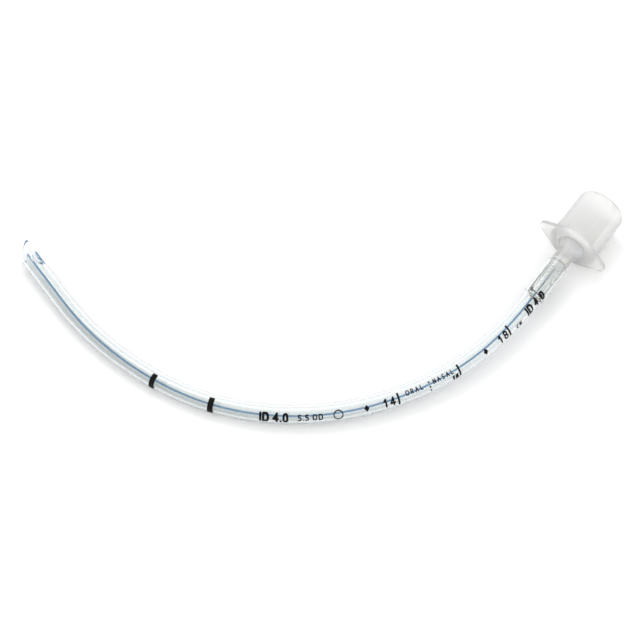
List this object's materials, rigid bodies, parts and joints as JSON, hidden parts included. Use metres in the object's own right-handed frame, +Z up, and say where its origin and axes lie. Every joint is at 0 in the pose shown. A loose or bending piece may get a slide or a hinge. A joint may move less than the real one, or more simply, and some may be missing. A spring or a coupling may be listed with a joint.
{
  "type": "endotracheal tube",
  "caption": "Curved clear uncuffed breathing tube with a bevelled, side-eyed tip, depth marks, a blue radiopaque line and a 15 mm push-fit connector with a winged flange.",
  "frame": {"origin": "middle of the bounding box, on the surface that the tube lies on", "axes": "+Z up, +X seen from above along the connector's axis towards its open end, +Y towards the patient's end of the tube"},
  "size_m": [0.128, 0.1506, 0.0161],
  "materials": {
    "clear_pvc": "clear, smooth, softly glossy",
    "radiopaque_blue": "opaque blue, inside the clear wall",
    "polypropylene": "translucent milky white, satin",
    "black_ink": "printed film, matt",
    "grey_ink": "thin printed film, matt"
  },
  "bodies": {
    "root": {"tube": "clear_pvc", "radiopaque_line": "radiopaque_blue", "connector": "polypropylene", "depth_bands": "black_ink", "size_print": "black_ink", "outer_diameter_print": "black_ink", "ring_print": "black_ink", "diamond_prints": "black_ink", "depth_mark_14": "black_ink", "depth_mark_16": "black_ink", "depth_mark_18": "black_ink", "route_print": "grey_ink", "unit_print": "black_ink"}
  },
  "joints": []
}
